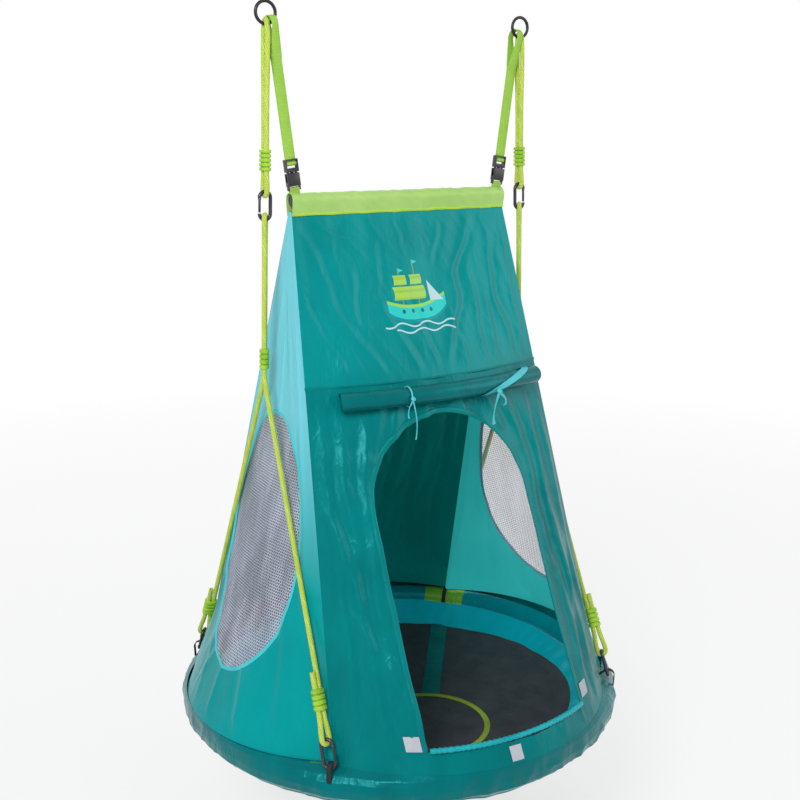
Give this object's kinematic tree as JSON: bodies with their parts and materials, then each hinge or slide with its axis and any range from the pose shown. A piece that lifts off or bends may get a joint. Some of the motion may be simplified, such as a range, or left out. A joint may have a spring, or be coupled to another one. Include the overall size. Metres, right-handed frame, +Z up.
{
  "type": "saucer nest swing",
  "caption": "Round padded nest swing with a tent canopy over it, an arched doorway, mesh side windows and two hanging rings.",
  "frame": {"origin": "midway between the centres of the two steel hanging rings", "axes": "+Z up, +X from the left hanging ring to the right one, the doorway faces -Y"},
  "size_m": [0.908, 0.908, 1.385],
  "materials": {
    "black_steel": "satin black",
    "galvanised_tube": "plain",
    "zinc_screws": "plain",
    "foam": "closed-cell foam",
    "ridge_tube": "matt",
    "teal_cloth": "coated polyester",
    "dark_teal_cloth": "coated polyester",
    "turquoise_cloth": "thin polyester",
    "cyan_tape": "woven tape",
    "lime_cloth": "coated polyester",
    "mesh": "net",
    "grey_tape": "hook and loop tape",
    "black_weave": "woven",
    "rope": "braided",
    "black_webbing": "webbing",
    "green_plastic": "translucent",
    "black_plastic": "moulded",
    "hook_plastic": "moulded"
  },
  "bodies": {
    "hanging_rings": {"steel_ring_left": "black_steel", "steel_ring_right": "black_steel"},
    "slider_upper_left": {"slider_upper_left": "green_plastic"},
    "slider_split_left": {"slider_split_left": "green_plastic"},
    "slider_lower_front_left": {"slider_lower_front_left": "green_plastic"},
    "slider_lower_back_left": {"slider_lower_back_left": "green_plastic"},
    "gate_upper_left": {"hook_gate_upper_left": "hook_plastic"},
    "gate_lower_front_left": {"hook_gate_lower_front_left": "hook_plastic"},
    "gate_lower_back_left": {"hook_gate_lower_back_left": "hook_plastic"},
    "prong_outer_left": {"buckle_prong_outer_left": "black_plastic"},
    "prong_inner_left": {"buckle_prong_inner_left": "black_plastic"},
    "slider_upper_right": {"slider_upper_right": "green_plastic"},
    "slider_split_right": {"slider_split_right": "green_plastic"},
    "slider_lower_front_right": {"slider_lower_front_right": "green_plastic"},
    "slider_lower_back_right": {"slider_lower_back_right": "green_plastic"},
    "gate_upper_right": {"hook_gate_upper_right": "hook_plastic"},
    "gate_lower_front_right": {"hook_gate_lower_front_right": "hook_plastic"},
    "gate_lower_back_right": {"hook_gate_lower_back_right": "hook_plastic"},
    "prong_outer_right": {"buckle_prong_outer_right": "black_plastic"},
    "prong_inner_right": {"buckle_prong_inner_right": "black_plastic"},
    "swing_seat": {"back_panel": "dark_teal_cloth", "buckle_females": "black_plastic", "buckle_males": "black_plastic", "door_roll": "teal_cloth", "door_tie_left": "cyan_tape", "door_tie_right": "cyan_tape", "doorway_binding": "dark_teal_cloth", "foam_sleeves": "foam", "front_panel_lower": "teal_cloth", "front_panel_upper": "teal_cloth", "hook_gate_pins": "zinc_screws", "hook_loop_tabs": "grey_tape", "lower_rope_left": "rope", "lower_rope_right": "rope", "mesh_window_left": "mesh", "mesh_window_right": "mesh", "ridge_bar": "ridge_tube", "ridge_bar_caps": "ridge_tube", "ridge_sleeve": "lime_cloth", "ridge_tabs": "lime_cloth", "rim_cover_lime": "lime_cloth", "rim_cover_teal": "teal_cloth", "ring_loops": "black_webbing", "ring_screws": "zinc_screws", "ring_spigots": "galvanised_tube", "ring_tubes": "galvanised_tube", "seat_band_lime": "lime_cloth", "seat_border": "teal_cloth", "seat_mat": "black_weave", "seat_strips_teal": "cyan_tape", "side_panel_left": "turquoise_cloth", "side_panel_right": "turquoise_cloth", "sill_piping": "cyan_tape", "skirt": "teal_cloth", "snap_hook_bodies": "hook_plastic", "top_strap_left": "lime_cloth", "top_strap_right": "lime_cloth", "upper_rope_left": "rope", "upper_rope_right": "rope", "window_bindings": "cyan_tape"}
  },
  "joints": [
    {"name": "swing", "type": "hinge", "parent": "hanging_rings", "child": "swing_seat", "pos_m": [0, 0, -0.019], "axis": [1, 0, 0], "range_deg": [-30, 30]},
    {"name": "slider_upper_left_slide", "type": "slide", "parent": "swing_seat", "child": "slider_upper_left", "axis": [0.0309, 0, 0.9995], "range_m": [0, 0.06]},
    {"name": "slider_split_left_slide", "type": "slide", "parent": "swing_seat", "child": "slider_split_left", "axis": [0.0309, 0, 0.9995], "range_m": [0, 0.12]},
    {"name": "slider_lower_front_left_slide", "type": "slide", "parent": "swing_seat", "child": "slider_lower_front_left", "axis": [0.038, 0.3984, 0.9164], "range_m": [0, 0.05]},
    {"name": "slider_lower_back_left_slide", "type": "slide", "parent": "swing_seat", "child": "slider_lower_back_left", "axis": [0.0458, -0.3983, 0.9161], "range_m": [0, 0.05]},
    {"name": "gate_upper_left_open", "type": "hinge", "parent": "swing_seat", "child": "gate_upper_left", "pos_m": [-0.30099, 0, -0.31753], "axis": [0, -1, 0], "range_deg": [0, 25], "stiffness_Nm_per_rad": 0.02, "springref_deg": -20.05},
    {"name": "gate_lower_front_left_open", "type": "hinge", "parent": "swing_seat", "child": "gate_lower_front_left", "pos_m": [-0.32127, -0.28002, -1.25861], "axis": [0.7171, 0.6278, -0.3027], "range_deg": [0, 25], "stiffness_Nm_per_rad": 0.02, "springref_deg": -20.05},
    {"name": "gate_lower_back_left_open", "type": "hinge", "parent": "swing_seat", "child": "gate_lower_back_left", "pos_m": [-0.33592, 0.26563, -1.2642], "axis": [0.7158, -0.6266, -0.3082], "range_deg": [0, 25], "stiffness_Nm_per_rad": 0.02, "springref_deg": -20.05},
    {"name": "prong_outer_left_squeeze", "type": "hinge", "parent": "swing_seat", "child": "prong_outer_left", "pos_m": [-0.24362, 0, -0.27199], "axis": [0, -1, 0], "range_deg": [0, 7], "stiffness_Nm_per_rad": 0.05},
    {"name": "prong_inner_left_squeeze", "type": "hinge", "parent": "swing_seat", "child": "prong_inner_left", "pos_m": [-0.22737, 0, -0.26976], "axis": [0, 1, 0], "range_deg": [0, 7], "stiffness_Nm_per_rad": 0.05},
    {"name": "slider_upper_right_slide", "type": "slide", "parent": "swing_seat", "child": "slider_upper_right", "axis": [-0.0309, 0, 0.9995], "range_m": [0, 0.06]},
    {"name": "slider_split_right_slide", "type": "slide", "parent": "swing_seat", "child": "slider_split_right", "axis": [-0.0309, 0, 0.9995], "range_m": [0, 0.12]},
    {"name": "slider_lower_front_right_slide", "type": "slide", "parent": "swing_seat", "child": "slider_lower_front_right", "axis": [-0.0458, 0.3983, 0.9161], "range_m": [0, 0.05]},
    {"name": "slider_lower_back_right_slide", "type": "slide", "parent": "swing_seat", "child": "slider_lower_back_right", "axis": [-0.038, -0.3984, 0.9164], "range_m": [0, 0.05]},
    {"name": "gate_upper_right_open", "type": "hinge", "parent": "swing_seat", "child": "gate_upper_right", "pos_m": [0.30099, 0, -0.31753], "axis": [0, 1, 0], "range_deg": [0, 25], "stiffness_Nm_per_rad": 0.02, "springref_deg": -20.05},
    {"name": "gate_lower_front_right_open", "type": "hinge", "parent": "swing_seat", "child": "gate_lower_front_right", "pos_m": [0.33592, -0.26563, -1.2642], "axis": [-0.7158, 0.6266, -0.3082], "range_deg": [0, 25], "stiffness_Nm_per_rad": 0.02, "springref_deg": -20.05},
    {"name": "gate_lower_back_right_open", "type": "hinge", "parent": "swing_seat", "child": "gate_lower_back_right", "pos_m": [0.32127, 0.28002, -1.25861], "axis": [-0.7171, -0.6278, -0.3027], "range_deg": [0, 25], "stiffness_Nm_per_rad": 0.02, "springref_deg": -20.05},
    {"name": "prong_outer_right_squeeze", "type": "hinge", "parent": "swing_seat", "child": "prong_outer_right", "pos_m": [0.24362, 0, -0.27199], "axis": [0, 1, 0], "range_deg": [0, 7], "stiffness_Nm_per_rad": 0.05},
    {"name": "prong_inner_right_squeeze", "type": "hinge", "parent": "swing_seat", "child": "prong_inner_right", "pos_m": [0.22737, 0, -0.26976], "axis": [0, -1, 0], "range_deg": [0, 7], "stiffness_Nm_per_rad": 0.05}
  ],
  "couplings": [
    {"joint": "prong_inner_left_squeeze", "follows": "prong_outer_left_squeeze", "ratio": 1},
    {"joint": "prong_inner_right_squeeze", "follows": "prong_outer_right_squeeze", "ratio": 1}
  ]
}
